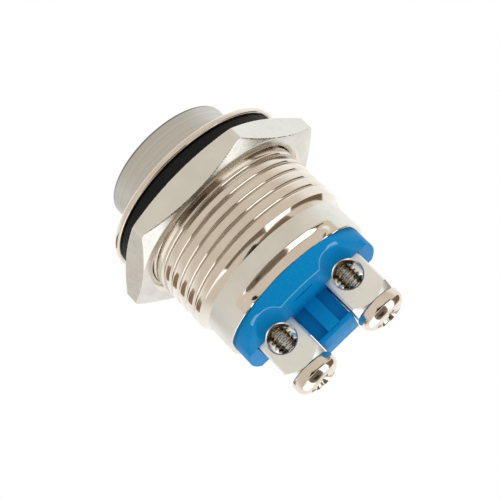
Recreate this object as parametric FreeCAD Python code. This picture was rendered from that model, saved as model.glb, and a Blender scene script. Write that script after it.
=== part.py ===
import FreeCAD, Part
import math
import os

os.makedirs("parts", exist_ok=True)

# Millimetres. Origin: centre of the flange's rear face, on the switch's axis.
# +Z runs along the axis towards the user, X through the two terminals.

# Clearances
SLIDE_GAP = 0.08          # radial, sliding button in its bore
STEM_GAP = 0.06           # radial, bridge on the stem
SCREW_GAP = 0.05          # radial, plain screw and nut threads
SEAT_GAP = 0.02           # between parts that are clamped or pressed together
REST_GAP = 0.05           # button at its upper stop
SIDE_GAP = 0.12           # moulded block beside each terminal
COIL_GAP = 0.05           # above a spring, whose end turn is tilted
CUT_OVER = 1.0            # how far a cut reaches beyond the piece
DRAWN_OVER = 0.2          # how far ramps and funnels are drawn past the base
TOUCH = 1e-4              # two places this near are the same

# Front flange and barrel
THREAD_R = 7.95
FLANGE_OVERHANG = 1.25
FLANGE_RIM = 0.55
FLANGE_FRONT = 1.3
FLANGE_LIP = 0.45          # from the button's side to the flange's front edge
FLANGE_EDGE = 0.2
THREAD_END_Z = -9.1
THREAD_PITCH = 1.0
GROOVE_DEPTH = 0.3
GROOVE_HALF = 0.24
GROOVE_END_Z = -8.53
GROOVE_HALF_TURNS = 14
SKIRT_STEP = 0.49
SKIRT_WALL = 0.34
SKIRT_START_Z = -9.75
SKIRT_END_Z = -12.65
GUIDE_END_Z = -2.9
BARREL_WALL = 1.2
SHOULDER_Z = -10.0

# Rolled lips that hold the base
LIP_TOP_Z = -11.5
LIP_DEPTH = 0.38
LIP_WALL = 0.34
LIP_ROOT_DEPTH = 0.16
LIP_ROOT_DEG = 2.0
LIP_CENTRE_DEG = -84.0
LIP_SPAN_DEG = 72.0

# Panel gasket and nut
GASKET_INSET = 0.3
GASKET_GAP = 0.15
GASKET_T = 1.33
NUT_WALL = 1.55            # from the thread's crest to the flats
NUT_T = 2.32
NUT_TURN_DEG = -3.8
NUT_CORNER_CUT = 0.12
NUT_REAR_CUT = 0.6
NUT_FACE_INSET = 0.05
NUT_MOUTH_STEP = 0.55
NUT_MOUTH_DEPTH = 0.5
NUT_FRONT_CUT = 0.5

# Button
BUTTON_TOP_Z = 4.45
BUTTON_EDGE = 0.3
BUTTON_WALL = 1.05
BUTTON_TOP_T = 1.3
COLLAR_GAP = 0.13
COLLAR_STEP = 0.27
BUTTON_END_Z = -3.9
SEAL_GROOVE_Z = -0.8
SEAL_CORD_R = 0.3

# Plunger, bridge and contacts
PLUNGER_PLATE_T = 2.2
PLUNGER_HUB_R = 2.6
PLUNGER_HUB_END_Z = -3.2
STEM_R = 1.1
STEM_END_Z = -7.9
BRIDGE_TOP_Z = -6.3
BRIDGE_T = 0.5
BRIDGE_END = 0.95          # beyond each contact's axis
BRIDGE_SIDE = 0.14         # beside the stem's hole
CONTACT_R = 0.9
CONTACT_T = 0.4
CLIP_STEP = 0.9            # beyond the stem's side
CLIP_T = 0.45
CLIP_SLOT = 1.3
CLIP_GROOVE = 0.35
FIXED_CONTACT_R = 1.0
FIXED_CONTACT_T = 0.5

# Springs
RETURN_SPRING_INSET = 0.35
RETURN_WIRE_R = 0.25
RETURN_TURNS = 5.0
CONTACT_SPRING_R = 1.75
CONTACT_WIRE_R = 0.16
CONTACT_TURNS = 5.0

# Base
BASE_END_Z = -14.5
BASE_NECK_STEP = 0.95
BASE_DECK_Z = -9.9
SEAL_T = 0.5
WELL_R = 2.4
WELL_END_Z = -10.9
RAMP_START_Y = 2.5
RAMP_START_X = 2.2
RAMP_RISE = 1.3
BLOCK_DEPTH = 2.3
BLOCK_END_Z = -17.9
BLOCK_PLATE_T = 0.4
POCKET_FLOOR_Y = 1.4
RIB_SHARE = 0.354          # of the block's width
FUNNEL_R = 1.75

# Terminals
POST_SHARE = 0.52817       # of the base's radius, to a terminal's axis
POST_WIDTH = 3.7
POST_FRONT_Y = -2.65
POST_BACK_Y = 1.45
POST_TOP_Z = -11.4
POST_END_Z = -18.3
POST_TURNED_R = 2.05
POST_TURNED_T = 0.55
NECK_R = 1.2
NECK_TOP_Z = -9.4
WIRE_HOLE_R = 1.24
WIRE_HOLE_Z = -15.25
WIRE_HOLE_CUT = 0.12

# Terminal screws
SCREW_R = 0.98
SCREW_TIP_Z = -13.7
SCREW_BORE_END_Z = -13.4
HEAD_R = 2.1
HEAD_SIDE = 0.65
HEAD_H = 1.65
RECESS_SPAN = 2.3
RECESS_WIDTH = 0.62
RECESS_FOOT = 0.9
RECESS_DEPTH = 0.95

SKIRT_R = THREAD_R - SKIRT_STEP
LIP_R = SKIRT_R - LIP_DEPTH
LIP_ROOT_R = SKIRT_R - LIP_ROOT_DEPTH
BASE_R = SKIRT_R - SKIRT_WALL - SEAT_GAP
BASE_NECK_R = BASE_R - BASE_NECK_STEP
RETURN_SPRING_R = BASE_NECK_R - RETURN_SPRING_INSET
CHAMBER_R = THREAD_R - BARREL_WALL
BUTTON_COLLAR_R = CHAMBER_R - COLLAR_GAP
BUTTON_R = BUTTON_COLLAR_R - COLLAR_STEP
BUTTON_WALL_R = BUTTON_R - BUTTON_WALL
POST_Y = (POST_FRONT_Y + POST_BACK_Y) / 2
BORE_R = BUTTON_R + SLIDE_GAP
SEAL_RING_R = BORE_R - SEAL_CORD_R - SEAT_GAP
FLANGE_R = THREAD_R + FLANGE_OVERHANG
FLANGE_LIP_R = BUTTON_R + FLANGE_LIP
POST_X = BASE_R * POST_SHARE
BRIDGE_HALF = POST_X + BRIDGE_END
BRIDGE_WIDTH = 2 * (STEM_R + STEM_GAP + BRIDGE_SIDE)
CLIP_R = STEM_R + CLIP_STEP
NUT_TOP_Z = -GASKET_T - SEAT_GAP


def vec(x, y, z):
    return FreeCAD.Vector(x, y, z)


def turned(profile):
    """Solid turned about Z from (radius, z) points."""
    points = [vec(r, 0, z) for r, z in profile]
    outline = Part.makePolygon(points + points[:1])
    return Part.Face(outline).revolve(vec(0, 0, 0), vec(0, 0, 1), 360)


def rod(radius, z0, z1, x=0.0, y=0.0):
    low = min(z0, z1)
    return Part.makeCylinder(radius, abs(z1 - z0), vec(x, y, low))


def box(x0, x1, y0, y1, z0, z1):
    return Part.makeBox(x1 - x0, y1 - y0, z1 - z0, vec(x0, y0, z0))


def round_edges(shape, radius, picked):
    edges = [e for e in shape.Edges if picked(e)]
    return shape.makeFillet(radius, edges)


def ring_edge(radius, z):
    """Test for the full circular edge of this radius at this height."""
    def picked(edge):
        if not hasattr(edge.Curve, "Radius"):
            return False
        same_r = abs(edge.Curve.Radius - radius) < TOUCH
        return same_r and abs(edge.BoundBox.ZMin - z) < TOUCH
    return picked


def band(r0, r1, z0, z1, centre_deg, span_deg):
    """Part of a tube wall, centred on an angle about Z."""
    start = math.radians(centre_deg - span_deg / 2)
    low = vec(r0 * math.cos(start), r0 * math.sin(start), z0)
    high = vec(r1 * math.cos(start), r1 * math.sin(start), z0)
    up = vec(0, 0, z1 - z0)
    outline = Part.makePolygon([low, high, high + up, low + up, low])
    return Part.Face(outline).revolve(vec(0, 0, 0), vec(0, 0, 1), span_deg)


def half_rings(outline, side, count, low, rise, mean_r):
    """Rising chain of half rings swept from one outline, each tilted the other way."""
    rings = []
    for k in range(count):
        start = vec(side * mean_r, 0, low + k * rise)
        centre = vec(0, 0, start.z + rise / 2)
        tilt = vec(side * rise / 2, 0, mean_r)
        rings.append(outline(start, side).revolve(centre, tilt, 180))
        side = -side
    return rings[0].multiFuse(rings[1:])


def coil(mean_r, wire_r, turns, z0, z1):
    """Open coil between two heights."""
    def wire(start, side):
        return Part.Face(Part.Wire(Part.makeCircle(wire_r, start, vec(0, 1, 0))))
    halves = int(2 * turns)
    rise = (z1 - z0 - 2 * wire_r) / halves
    return half_rings(wire, 1, halves, z0 + wire_r, rise, mean_r).removeSplitter()


def thread_groove():
    """Right-hand V groove along the barrel."""
    def notch(start, side):
        root = start - vec(side * GROOVE_DEPTH, 0, 0)
        mouth = start + vec(side * GROOVE_DEPTH, 0, 0)
        wide = vec(0, 0, 2 * GROOVE_HALF)
        return Part.Face(Part.makePolygon([root, mouth + wide, mouth - wide, root]))
    return half_rings(notch, -1, GROOVE_HALF_TURNS, GROOVE_END_Z, THREAD_PITCH / 2, THREAD_R)


def both_lips(r0, r1, z0, z1, span):
    front = band(r0, r1, z0, z1, LIP_CENTRE_DEG, span)
    back = band(r0, r1, z0, z1, LIP_CENTRE_DEG + 180, span)
    return front.fuse(back)


def make_housing():
    seat_r = BASE_R + SEAT_GAP
    outside = [(BORE_R, FLANGE_FRONT), (FLANGE_LIP_R, FLANGE_FRONT), (FLANGE_R, FLANGE_RIM),
               (FLANGE_R, 0), (THREAD_R, 0), (THREAD_R, THREAD_END_Z),
               (SKIRT_R, SKIRT_START_Z), (SKIRT_R, SKIRT_END_Z)]
    inside = [(seat_r, SKIRT_END_Z), (seat_r, SHOULDER_Z), (CHAMBER_R, SHOULDER_Z),
              (CHAMBER_R, GUIDE_END_Z), (BORE_R, GUIDE_END_Z)]
    body = turned(outside + inside)
    body = round_edges(body, FLANGE_EDGE, ring_edge(FLANGE_R, FLANGE_RIM))
    body = round_edges(body, FLANGE_EDGE, ring_edge(FLANGE_R, 0))
    lips = both_lips(LIP_R - LIP_WALL, LIP_ROOT_R, SKIRT_END_Z, LIP_TOP_Z + LIP_WALL,
                     LIP_SPAN_DEG + 2 * LIP_ROOT_DEG)
    dent = both_lips(LIP_R, SKIRT_R + CUT_OVER, SKIRT_END_Z - CUT_OVER, LIP_TOP_Z, LIP_SPAN_DEG)
    return body.fuse(lips).cut(dent).removeSplitter().cut(thread_groove())


def make_gasket():
    hole = rod(THREAD_R + GASKET_GAP, 0, -GASKET_T - CUT_OVER)
    return rod(FLANGE_R - GASKET_INSET, -SEAT_GAP, -GASKET_T).cut(hole)


def make_nut():
    """Hexagon nut, turned over its corners and both faces, with a countersunk mouth."""
    flat_r = THREAD_R + NUT_WALL
    corner_r = flat_r / math.cos(math.pi / 6)
    face_r = flat_r - NUT_FACE_INSET
    turned_r = corner_r - NUT_CORNER_CUT
    rear = NUT_TOP_Z - NUT_T
    corners = []
    for k in range(7):
        a = math.radians(NUT_TURN_DEG + 60 * k)
        corners.append(vec(corner_r * math.cos(a), corner_r * math.sin(a), rear))
    hexagon = Part.Face(Part.makePolygon(corners)).extrude(vec(0, 0, NUT_T))
    blank = turned([(0, rear), (face_r, rear), (turned_r, rear + NUT_REAR_CUT),
                    (turned_r, NUT_TOP_Z - NUT_FRONT_CUT), (face_r, NUT_TOP_Z), (0, NUT_TOP_Z)])
    bore_r = THREAD_R + SCREW_GAP
    mouth = turned([(0, rear), (bore_r + NUT_MOUTH_STEP, rear), (bore_r, rear + NUT_MOUTH_DEPTH),
                    (0, rear + NUT_MOUTH_DEPTH)])
    return hexagon.common(blank).cut(rod(bore_r, rear, NUT_TOP_Z)).cut(mouth)


def make_button():
    """Hollow raised button with a seal groove and a stop collar."""
    collar_z = GUIDE_END_Z - REST_GAP
    ceiling = BUTTON_TOP_Z - BUTTON_TOP_T
    body = turned([(0, BUTTON_TOP_Z), (BUTTON_R, BUTTON_TOP_Z), (BUTTON_R, collar_z),
                   (BUTTON_COLLAR_R, collar_z), (BUTTON_COLLAR_R, BUTTON_END_Z),
                   (BUTTON_WALL_R, BUTTON_END_Z), (BUTTON_WALL_R, ceiling), (0, ceiling)])
    body = round_edges(body, BUTTON_EDGE, ring_edge(BUTTON_R, BUTTON_TOP_Z))
    cord = SEAL_CORD_R + SEAT_GAP
    slot = rod(BUTTON_R + CUT_OVER, SEAL_GROOVE_Z - cord, SEAL_GROOVE_Z + cord)
    core = rod(SEAL_RING_R - cord, SEAL_GROOVE_Z - cord, SEAL_GROOVE_Z + cord)
    return body.cut(slot.cut(core))


def make_button_seal():
    return Part.makeTorus(SEAL_RING_R, SEAL_CORD_R, vec(0, 0, SEAL_GROOVE_Z))


def make_plunger():
    top = BUTTON_TOP_Z - BUTTON_TOP_T - SEAT_GAP
    plate_end = top - PLUNGER_PLATE_T
    groove = clip_top_z()
    neck = STEM_R - CLIP_GROOVE
    return turned([(0, top), (BUTTON_WALL_R - SEAT_GAP, top), (BUTTON_WALL_R - SEAT_GAP, plate_end),
                   (PLUNGER_HUB_R, plate_end), (PLUNGER_HUB_R, PLUNGER_HUB_END_Z),
                   (STEM_R, PLUNGER_HUB_END_Z), (STEM_R, groove), (neck, groove),
                   (neck, groove - CLIP_T - SEAT_GAP), (STEM_R, groove - CLIP_T - SEAT_GAP),
                   (STEM_R, STEM_END_Z), (0, STEM_END_Z)])


def clip_top_z():
    return BRIDGE_TOP_Z - BRIDGE_T - SEAT_GAP


def make_clip():
    """Open retaining clip in the stem's groove."""
    top = clip_top_z()
    low = top - CLIP_T
    hole_r = STEM_R - CLIP_GROOVE + SEAT_GAP
    disc = rod(CLIP_R, low, top).cut(rod(hole_r, low, top))
    mouth = box(-CLIP_SLOT / 2, CLIP_SLOT / 2, 0, CLIP_R + CUT_OVER, low, top)
    return disc.cut(mouth)


def make_bridge():
    low = BRIDGE_TOP_Z - BRIDGE_T
    half_w = BRIDGE_WIDTH / 2
    strip = box(-BRIDGE_HALF + half_w, BRIDGE_HALF - half_w, -half_w, half_w, low, BRIDGE_TOP_Z)
    for side in (-1, 1):
        end_x = side * (BRIDGE_HALF - half_w)
        strip = strip.fuse(rod(half_w, low, BRIDGE_TOP_Z, end_x))
    hole = rod(STEM_R + STEM_GAP, low, BRIDGE_TOP_Z)
    return strip.removeSplitter().cut(hole)


def make_bridge_contact(side):
    top = BRIDGE_TOP_Z - BRIDGE_T
    return rod(CONTACT_R, top - CONTACT_T, top, side * POST_X)


def make_fixed_contact(side):
    return rod(FIXED_CONTACT_R, NECK_TOP_Z, NECK_TOP_Z + FIXED_CONTACT_T, side * POST_X)


def make_return_spring():
    top = BUTTON_END_Z - COIL_GAP
    return coil(RETURN_SPRING_R, RETURN_WIRE_R, RETURN_TURNS, BASE_DECK_Z, top)


def make_contact_spring():
    top = PLUNGER_HUB_END_Z - COIL_GAP
    return coil(CONTACT_SPRING_R, CONTACT_WIRE_R, CONTACT_TURNS, BRIDGE_TOP_Z, top)


def make_base_seal():
    low = SHOULDER_Z - SEAL_T
    outer = rod(BASE_R - SEAT_GAP, low, SHOULDER_Z)
    return outer.cut(rod(BASE_NECK_R + SEAT_GAP, low, SHOULDER_Z))


def make_ramps():
    """Sloped front and back of the base, either side of the middle tongue."""
    ramps = []
    for y_side in (-1, 1):
        start = y_side * RAMP_START_Y
        far = y_side * (BASE_R + DRAWN_OVER)
        for x_side in (-1, 1):
            x0 = x_side * RAMP_START_X
            outline = Part.makePolygon([vec(x0, start, BASE_END_Z), vec(x0, far, BASE_END_Z),
                                        vec(x0, far, BASE_END_Z + RAMP_RISE),
                                        vec(x0, start, BASE_END_Z)])
            ramps.append(Part.Face(outline).extrude(vec(x_side * BASE_R, 0, 0)))
    return ramps


def make_funnel(side, y_side, y_face):
    """Cone that leads a wire into the terminal's cross hole."""
    reach = BASE_R + DRAWN_OVER - abs(y_face)
    low = vec(side * POST_X, y_face, WIRE_HOLE_Z)
    return Part.makeCone(WIRE_HOLE_R, FUNNEL_R, reach, low, vec(0, y_side, 0))


def make_block():
    """Wall between the terminals: ribbed both sides, closed by an end plate."""
    half = POST_X - POST_WIDTH / 2 - SIDE_GAP
    web = box(-half, half, -POCKET_FLOOR_Y, POCKET_FLOOR_Y, BLOCK_END_Z, BASE_END_Z)
    rib_half = RIB_SHARE * half
    rib = box(-rib_half, rib_half, -BLOCK_DEPTH, BLOCK_DEPTH, BLOCK_END_Z, BASE_END_Z)
    plate = box(-half, half, -BLOCK_DEPTH, BLOCK_DEPTH, BLOCK_END_Z, BLOCK_END_Z + BLOCK_PLATE_T)
    return web.fuse(rib).fuse(plate)


def make_base():
    plug = rod(BASE_R, BASE_END_Z, SHOULDER_Z - SEAL_T - SEAT_GAP)
    neck = rod(BASE_NECK_R, BASE_END_Z, BASE_DECK_Z)
    body = plug.fuse(neck)
    for ramp in make_ramps():
        body = body.cut(ramp)
    body = body.fuse(make_block())
    lip_top = LIP_TOP_Z + LIP_WALL + SEAT_GAP
    notch = both_lips(LIP_R - LIP_WALL - SEAT_GAP, BASE_R + CUT_OVER, SKIRT_END_Z - SEAT_GAP, lip_top,
                      LIP_SPAN_DEG + 2 * LIP_ROOT_DEG + 1)
    body = body.cut(notch).cut(rod(WELL_R, WELL_END_Z, BASE_DECK_Z))
    for side in (-1, 1):
        body = body.cut(make_funnel(side, -1, POST_FRONT_Y)).cut(make_funnel(side, 1, POST_BACK_Y))
        body = body.cut(make_socket(side))
    return body.removeSplitter()


def make_socket(side):
    """Space in the base for one terminal and its contact."""
    half = POST_WIDTH / 2 + SEAT_GAP
    x = side * POST_X
    room = box(x - half, x + half, POST_FRONT_Y - SEAT_GAP, POST_BACK_Y + SEAT_GAP,
               POST_END_Z, POST_TOP_Z + SEAT_GAP)
    return room.fuse(rod(NECK_R + SEAT_GAP, POST_TOP_Z, BASE_DECK_Z, x))


def make_post(side):
    """Terminal bar with a cross hole for the wire and a turned outer end."""
    x = side * POST_X
    half = POST_WIDTH / 2
    bar = box(x - half, x + half, POST_FRONT_Y, POST_BACK_Y, POST_END_Z, POST_TOP_Z)
    blank = turned([(0, POST_END_Z), (POST_TURNED_R, POST_END_Z),
                    (POST_TURNED_R + POST_TURNED_T * 1.6, POST_END_Z + POST_TURNED_T * 1.6),
                    (POST_TURNED_R + POST_TURNED_T * 1.6, POST_TOP_Z), (0, POST_TOP_Z)])
    blank.translate(vec(x, POST_Y, 0))
    bar = bar.common(blank).fuse(rod(NECK_R, POST_TOP_Z, NECK_TOP_Z, x))
    depth = POST_BACK_Y - POST_FRONT_Y
    wire = Part.makeCylinder(WIRE_HOLE_R, depth, vec(x, POST_FRONT_Y, WIRE_HOLE_Z), vec(0, 1, 0))
    rim = Part.makeCone(WIRE_HOLE_R + WIRE_HOLE_CUT, WIRE_HOLE_R, WIRE_HOLE_CUT,
                        vec(x, POST_FRONT_Y, WIRE_HOLE_Z), vec(0, 1, 0))
    bore = rod(SCREW_R + SCREW_GAP, POST_END_Z, SCREW_BORE_END_Z, x, POST_Y)
    return bar.cut(wire).cut(rim).cut(bore)


def make_recess(x, y, z):
    """Cross recess sunk into a screw head that faces -Z."""
    cuts = []
    for turn in (45, 135):
        mouth = recess_frame(RECESS_SPAN, RECESS_WIDTH, z - 0.01)
        foot = recess_frame(RECESS_FOOT, RECESS_WIDTH * 0.7, z + RECESS_DEPTH)
        cut = Part.makeLoft([mouth, foot], True, True)
        cut.rotate(vec(0, 0, 0), vec(0, 0, 1), turn)
        cut.translate(vec(x, y, 0))
        cuts.append(cut)
    return cuts[0].fuse(cuts[1])


def recess_frame(span, width, z):
    a = span / 2
    b = width / 2
    return Part.makePolygon([vec(-a, -b, z), vec(a, -b, z), vec(a, b, z), vec(-a, b, z),
                             vec(-a, -b, z)])


def make_screw(side):
    """Domed cross-recess screw, plain at the thread's outer size."""
    x = side * POST_X
    seat = POST_END_Z - SEAT_GAP
    low = seat - HEAD_H
    rim = vec(HEAD_R, 0, seat - HEAD_SIDE)
    shoulder = vec(HEAD_R * 0.8, 0, low + (HEAD_H - HEAD_SIDE) * 0.36)
    dome = Part.Arc(rim, shoulder, vec(0, 0, low)).toShape()
    edges = [Part.makeLine(vec(0, 0, SCREW_TIP_Z), vec(SCREW_R, 0, SCREW_TIP_Z)),
             Part.makeLine(vec(SCREW_R, 0, SCREW_TIP_Z), vec(SCREW_R, 0, seat)),
             Part.makeLine(vec(SCREW_R, 0, seat), vec(HEAD_R, 0, seat)),
             Part.makeLine(vec(HEAD_R, 0, seat), rim), dome,
             Part.makeLine(vec(0, 0, low), vec(0, 0, SCREW_TIP_Z))]
    body = Part.Face(Part.Wire(edges)).revolve(vec(0, 0, 0), vec(0, 0, 1), 360)
    body.translate(vec(x, POST_Y, 0))
    return body.cut(make_recess(x, POST_Y, low))


def export(node, shape):
    solid = shape.Solids[0] if len(shape.Solids) == 1 else shape
    if not solid.isValid():
        print("not valid:", node)
    if len(shape.Solids) != 1:
        print("solids:", node, len(shape.Solids))
    solid.exportStep("parts/" + node + ".step")


export("housing", make_housing())
export("panel_gasket", make_gasket())
export("panel_nut", make_nut())
export("button_cap", make_button())
export("button_seal", make_button_seal())
export("plunger", make_plunger())
export("bridge_clip", make_clip())
export("contact_bridge", make_bridge())
export("bridge_contact_a", make_bridge_contact(-1))
export("bridge_contact_b", make_bridge_contact(1))
export("fixed_contact_a", make_fixed_contact(-1))
export("fixed_contact_b", make_fixed_contact(1))
export("return_spring", make_return_spring())
export("contact_spring", make_contact_spring())
export("base_seal", make_base_seal())
export("base", make_base())
export("terminal_post_a", make_post(-1))
export("terminal_post_b", make_post(1))
export("terminal_screw_a", make_screw(-1))
export("terminal_screw_b", make_screw(1))
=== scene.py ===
import math

import bmesh
import bpy
from mathutils import Matrix, Vector


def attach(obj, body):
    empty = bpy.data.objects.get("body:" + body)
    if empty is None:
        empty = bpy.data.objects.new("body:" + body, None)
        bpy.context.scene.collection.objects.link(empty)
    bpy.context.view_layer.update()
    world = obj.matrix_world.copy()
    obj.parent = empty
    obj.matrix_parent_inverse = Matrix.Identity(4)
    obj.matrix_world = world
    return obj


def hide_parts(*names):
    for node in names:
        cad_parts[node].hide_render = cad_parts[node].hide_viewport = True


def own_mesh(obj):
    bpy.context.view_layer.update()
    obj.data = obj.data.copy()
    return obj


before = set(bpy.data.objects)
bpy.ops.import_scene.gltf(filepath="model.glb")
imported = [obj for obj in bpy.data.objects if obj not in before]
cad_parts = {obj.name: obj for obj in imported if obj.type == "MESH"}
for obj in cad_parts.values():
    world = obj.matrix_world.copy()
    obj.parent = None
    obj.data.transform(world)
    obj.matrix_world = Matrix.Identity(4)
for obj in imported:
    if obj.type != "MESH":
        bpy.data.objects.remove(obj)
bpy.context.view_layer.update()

# All sizes below are millimetres in the part's frame; MM turns them into metres.
MM = 0.001

# Camera, as solved from the photograph
CAMERA_AT = Vector((-3.399, -85.901, -36.430))
CAMERA_RIGHT = Vector((0.7194156, 0.2026639, -0.6643558))
CAMERA_UP = Vector((0.6938134, -0.2546021, 0.6736474))
CAMERA_FORWARD = Vector((0.0326224, 0.9455713, 0.3237756))
CAMERA_LENS = 75.927
SENSOR = 36.0
PART_MIDDLE = Vector((0, 0, -8))

# Housing
FLANGE_R = 9.2
FLANGE_RIM = 0.55
FLANGE_FRONT = 1.3
FLANGE_LIP_R = 6.8
BORE_R = 6.43
CHAMBER_R = 6.75
GUIDE_END_Z = -2.9
SHOULDER_Z = -10.0
SEAT_R = 7.12
THREAD_R = 7.95
THREAD_END_Z = -9.1
THREAD_PITCH = 1.0
SKIRT_R = 7.46
SKIRT_START_Z = -9.75
SKIRT_END_Z = -12.65

# Rolled lips
LIP_TOP_Z = -11.5
LIP_DEPTH = 0.38
LIP_CURL = 0.05
LIP_CENTRES_DEG = (-84.0, 96.0)
LIP_HALF_DEG = 44.0
LIP_FADE_DEG = 8.0

# Their rounded ends: share of the depth by which they stand out again, place and size
LIP_BULGE = 0.8
LIP_BULGE_Z = -12.1
LIP_BULGE_DEG = 35.0
LIP_BULGE_HALF_H = 0.6
LIP_BULGE_HALF_DEG = 6.0

# Nut and gasket
NUT_FLATS = 19.0
NUT_TOP_Z = -1.35
NUT_END_Z = -3.67
NUT_TURN_DEG = -3.8
NUT_CORNER_R = 10.85
NUT_REAR_CUT = 0.6
NUT_FRONT_CUT = 0.5
NUT_FACE_R = 9.45
NUT_MOUTH_R = 8.55
NUT_MOUTH_DEPTH = 0.5
NUT_BORE_R = 8.0
GASKET_R = 8.9
GASKET_BORE_R = 8.1
GASKET_TOP_Z = -0.02
GASKET_END_Z = -1.33

# Button
BUTTON_R = 6.35
BUTTON_TOP_Z = 4.45
BUTTON_END_Z = -3.9
BUTTON_FACE_T = 1.3
BUTTON_INNER_R = 5.3
COLLAR_R = 6.62
SEAL_GROOVE_R = 5.79
SEAL_GROOVE_TOP_Z = -0.48
SEAL_GROOVE_END_Z = -1.12

# Base, with the ribbed wall between the terminals
BASE_R = 7.1
BASE_BACK_R = SEAT_R - LIP_DEPTH - 0.52     # behind the rolled lips
BASE_BACK_HALF_DEG = 42
BASE_END_Z = -14.5
BASE_TOP_Z = -10.52
BASE_NECK_R = 6.15
BASE_DECK_Z = -9.9
WELL_R = 2.4
WELL_END_Z = -10.9
BLOCK_HALF = 1.74
BLOCK_DEPTH = 2.3
BLOCK_END_Z = -17.9
BLOCK_PLATE_T = 0.4
POCKET_FLOOR_Y = 1.4
RIB_HALF = 0.63
SLOT_Y = 5.3
TONGUE_HALF = 4.7
TONGUE_START_Y = 4.4
RAMP_START_X = 3.0
RAMP_START_Y = 2.5
RAMP_BLEND_X = 1.1
RAMP_RISE = 0.75
ROLL_WIDTH = 0.9
ROLL_BLEND_Y = 0.8
ROLL_RISE = 0.7
FUNNEL_R = 1.75
FUNNEL_BLEND = 0.3
FUNNEL_INSIDE = 0.3
FUNNEL_LENGTH = 3.4

# Terminals
POST_X = 3.75
POST_HALF = 1.85
POST_FRONT_Y = -2.65
POST_BACK_Y = 1.45
POST_Y = -0.6
POST_TOP_Z = -11.4
POST_END_Z = -18.3
POST_TURNED_R = 2.05
POST_TAPER = 0.62
NECK_R = 1.2
NECK_TOP_Z = -9.4
WIRE_HOLE_R = 1.24
WIRE_HOLE_Z = -15.25
WIRE_HOLE_CHAMFER = 0.12
SCREW_R = 0.98
SCREW_PITCH = 0.4
SCREW_GROOVE = 0.2
SCREW_TIP_Z = -13.7
SCREW_TIP_CUT = 0.25
SCREW_BORE_END_Z = -13.4
HEAD_SEAT_Z = -18.32
HEAD_R = 2.1
HEAD_SIDE = 0.65
HEAD_H = 1.65
HEAD_END_Z = HEAD_SEAT_Z - HEAD_H
RECESS_TURN_DEG = 20

# Springs: mean radius, wire radius, turns, lower end and upper end
RETURN_SPRING = (5.8, 0.25, 5.0, -9.9, -3.95)
CONTACT_SPRING = (1.75, 0.16, 5.0, -6.3, -3.25)


# Shaping functions

def smoothstep(t):
    t = min(max(t, 0.0), 1.0)
    return t * t * (3 - 2 * t)


def soft_min(a, b, width):
    h = max(width - abs(a - b), 0.0) / width
    return min(a, b) - h * h * width / 4


def soft_max(a, b, width):
    return -soft_min(-a, -b, width)


def off_angle(angle_deg, centre_deg):
    """Degrees between two directions round the axis."""
    return abs((angle_deg - centre_deg + 180) % 360 - 180)


def round_corners(points, radii, steps=5, closed=True):
    """(r, z) outline with each corner rounded by its radius."""
    out = []
    count = len(points)
    for i, (x, y) in enumerate(points):
        radius = radii[i]
        if radius <= 0 or (not closed and i in (0, count - 1)):
            out.append((x, y))
            continue
        here = Vector((x, y))
        before = (Vector(points[i - 1]) - here).normalized()
        after = (Vector(points[(i + 1) % count]) - here).normalized()
        half = before.angle(after) / 2
        reach = radius / math.tan(half)
        middle = here + (before + after).normalized() * (radius / math.sin(half))
        start = here + before * reach - middle
        end = here + after * reach - middle
        turn = start.angle_signed(end)
        for k in range(steps + 1):
            a = -turn * k / steps
            c, s = math.cos(a), math.sin(a)
            out.append((middle.x + start.x * c - start.y * s, middle.y + start.x * s + start.y * c))
    return out


# Meshes

def link_object(name, data):
    obj = bpy.data.objects.new(name, data)
    bpy.context.scene.collection.objects.link(obj)
    return obj


def mesh_object(name, points, faces):
    """Object from points in millimetres."""
    mesh = bpy.data.meshes.new(name)
    mesh.from_pydata([Vector(p) * MM for p in points], [], faces)
    mesh.validate()
    return link_object(name, mesh)


def joined_meshes(name, objects):
    """One object from several, which are used up."""
    bm = bmesh.new()
    for obj in objects:
        bm.from_mesh(obj.data)
        bpy.data.objects.remove(obj)
    mesh = bpy.data.meshes.new(name)
    bm.to_mesh(mesh)
    bm.free()
    return link_object(name, mesh)


def clean(obj, distance=0.0005):
    """Merges coinciding points, drops collapsed faces and turns the faces outwards."""
    bm = bmesh.new()
    bm.from_mesh(obj.data)
    bmesh.ops.remove_doubles(bm, verts=bm.verts, dist=distance * MM)
    bmesh.ops.dissolve_degenerate(bm, edges=bm.edges, dist=distance * MM)
    bmesh.ops.recalc_face_normals(bm, faces=bm.faces)
    bm.to_mesh(obj.data)
    bm.free()


def apply_modifiers(obj):
    graph = bpy.context.evaluated_depsgraph_get()
    mesh = bpy.data.meshes.new_from_object(obj.evaluated_get(graph))
    old = obj.data
    obj.modifiers.clear()
    obj.data = mesh
    bpy.data.meshes.remove(old)


def flatten_normals(obj):
    """Keeps the shading of large flat faces flat beside their rounded edges."""
    step = obj.modifiers.new("normals", "WEIGHTED_NORMAL")
    step.weight = 100
    step.keep_sharp = True
    apply_modifiers(obj)


def finish_piece(obj, material, body, node, sharp_deg):
    """Material, shading, body and the CAD node that the piece stands for."""
    obj.data.materials.clear()
    obj.data.materials.append(material)
    obj.data.shade_smooth()
    obj.data.set_sharp_from_angle(angle=math.radians(sharp_deg))
    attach(obj, body)
    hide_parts(node)


def second_finish(obj, material, chosen):
    """Gives faces, picked by their middle in millimetres and their normal, another finish."""
    obj.data.materials.append(material)
    for face in obj.data.polygons:
        if chosen(face.center / MM, face.normal):
            face.material_index = len(obj.data.materials) - 1


def ring_faces(segments, count, closed):
    """Faces between copies of a profile of count points, set round the axis."""
    faces = []
    for i in range(segments):
        at, to = i * count, (i + 1) % segments * count
        for k in range(count if closed else count - 1):
            m = (k + 1) % count
            faces.append((at + k, to + k, to + m, at + m))
    return faces


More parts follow.
